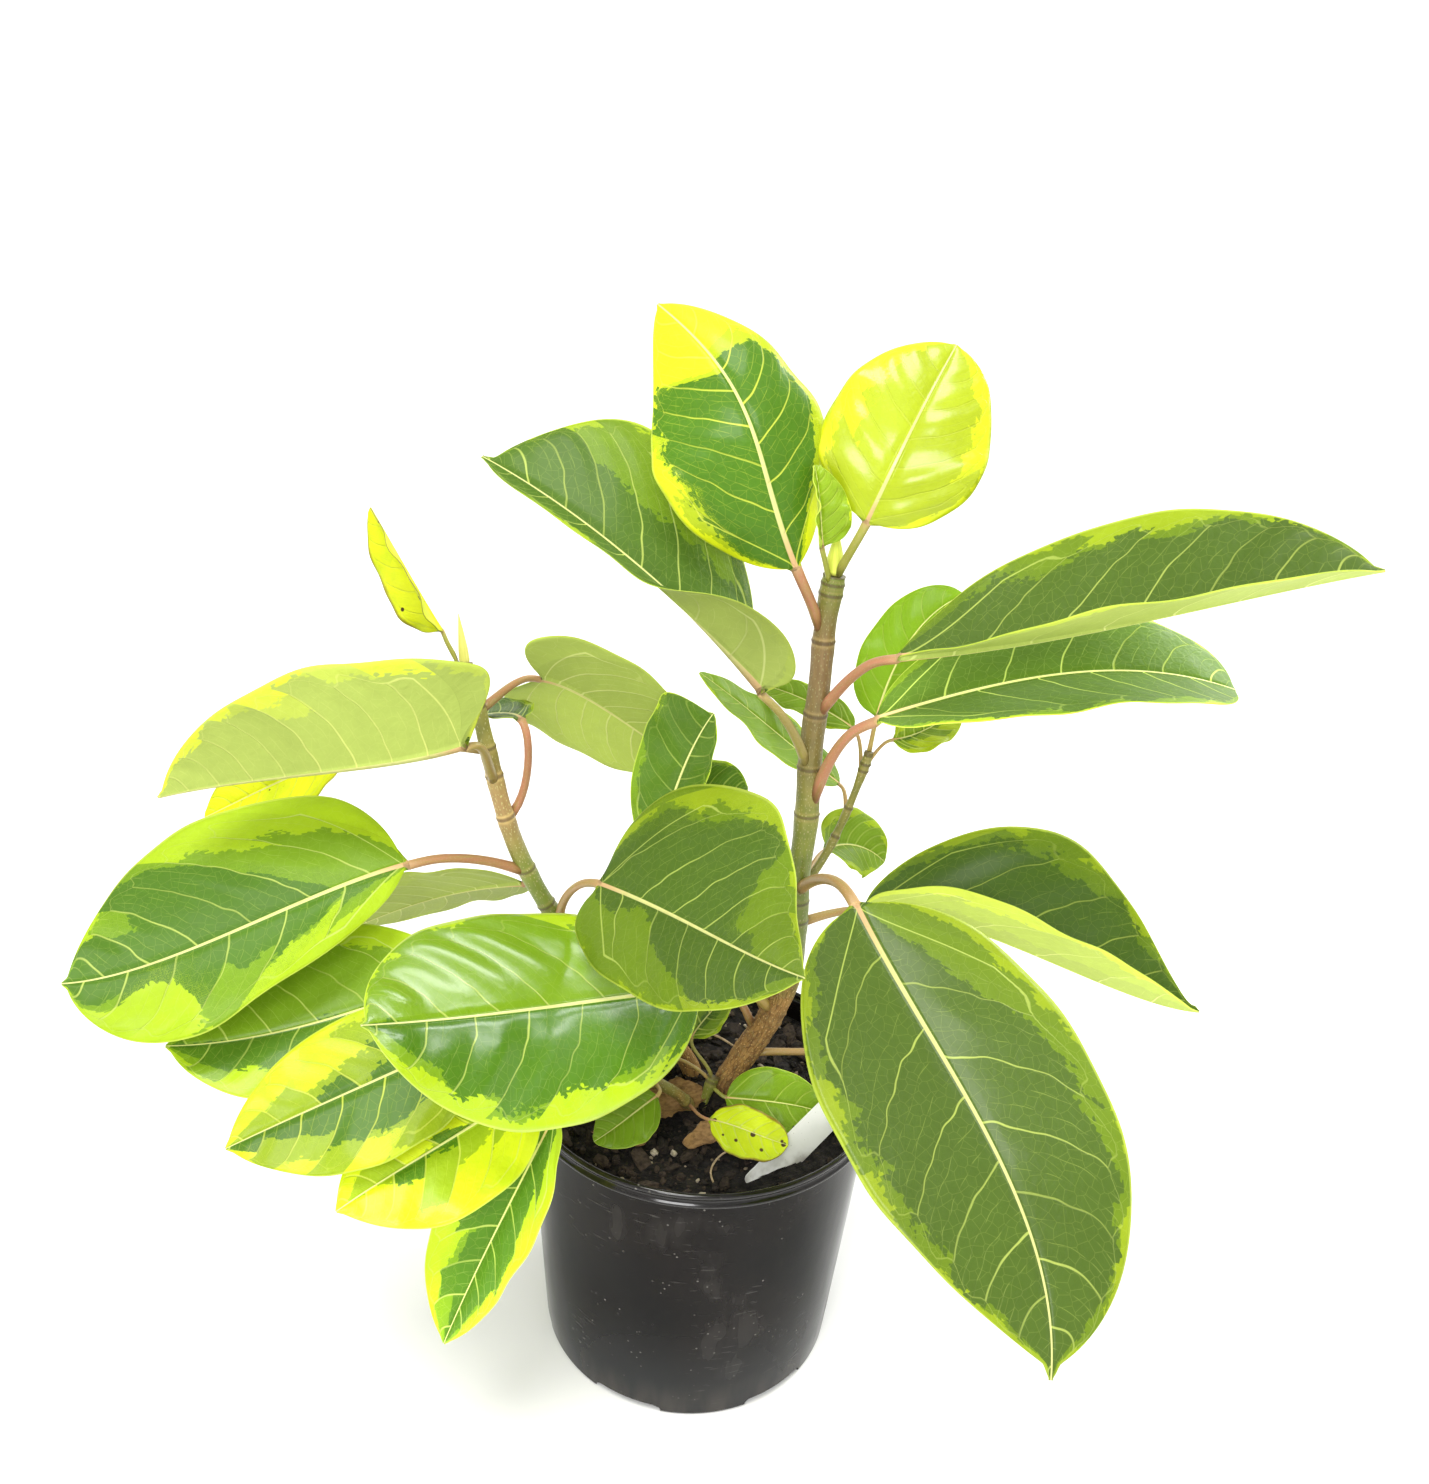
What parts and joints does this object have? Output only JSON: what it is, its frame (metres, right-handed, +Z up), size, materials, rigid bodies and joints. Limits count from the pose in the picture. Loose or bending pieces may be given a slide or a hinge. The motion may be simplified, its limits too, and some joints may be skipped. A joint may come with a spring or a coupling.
{
  "type": "potted rubber plant",
  "caption": "Variegated rubber plant with large folded lime-edged leaves on two leaning stems, growing in a round black nursery pot of soil.",
  "frame": {"origin": "centre of the pot's flat underside, on the surface it stands on", "axes": "+Z up, -Y toward the front where the largest leaf hangs, +X to the right seen from the front"},
  "size_m": [0.5505, 0.3149, 0.574],
  "materials": {
    "bud_skin": "satin lime green",
    "green_leaf": "glossy green leaf with lime margins",
    "label_plastic": "satin white",
    "lime_leaf": "glossy lime yellow leaf",
    "pot_plastic": "glossy black",
    "potting_soil": "matte crumbly soil",
    "shoot_skin": "satin green skin",
    "stem_bark": "satin green-brown bark"
  },
  "bodies": {
    "root": {"leaf_back_left": "green_leaf", "leaf_back_lime": "lime_leaf", "leaf_back_low": "green_leaf", "leaf_back_right": "green_leaf", "leaf_back_small": "green_leaf", "leaf_centre": "green_leaf", "leaf_centre_back": "green_leaf", "leaf_centre_low": "green_leaf", "leaf_front": "green_leaf", "leaf_front_right": "green_leaf", "leaf_left_back": "green_leaf", "leaf_left_inner": "green_leaf", "leaf_left_large": "green_leaf", "leaf_left_small": "lime_leaf", "leaf_left_under": "green_leaf", "leaf_left_upper": "green_leaf", "leaf_low_1": "green_leaf", "leaf_low_2": "green_leaf", "leaf_low_3": "green_leaf", "leaf_low_4": "green_leaf", "leaf_low_right": "green_leaf", "leaf_new": "green_leaf", "leaf_right_lower": "green_leaf", "leaf_right_middle": "green_leaf", "leaf_right_upper": "green_leaf", "leaf_top": "green_leaf", "leaf_top_lime": "lime_leaf", "leaf_upper_left": "green_leaf", "leaf_withered": "lime_leaf", "leaflet_front": "green_leaf", "leaflet_green": "green_leaf", "leaflet_inner": "green_leaf", "leaflet_pale": "green_leaf", "leaflet_yellow": "lime_leaf", "left_bud": "bud_skin", "left_stem": "stem_bark", "low_shoot": "shoot_skin", "main_stem": "stem_bark", "plant_label": "label_plastic", "pot": "pot_plastic", "small_shoot": "shoot_skin", "soil": "potting_soil", "top_sheath": "bud_skin"}
  },
  "joints": []
}
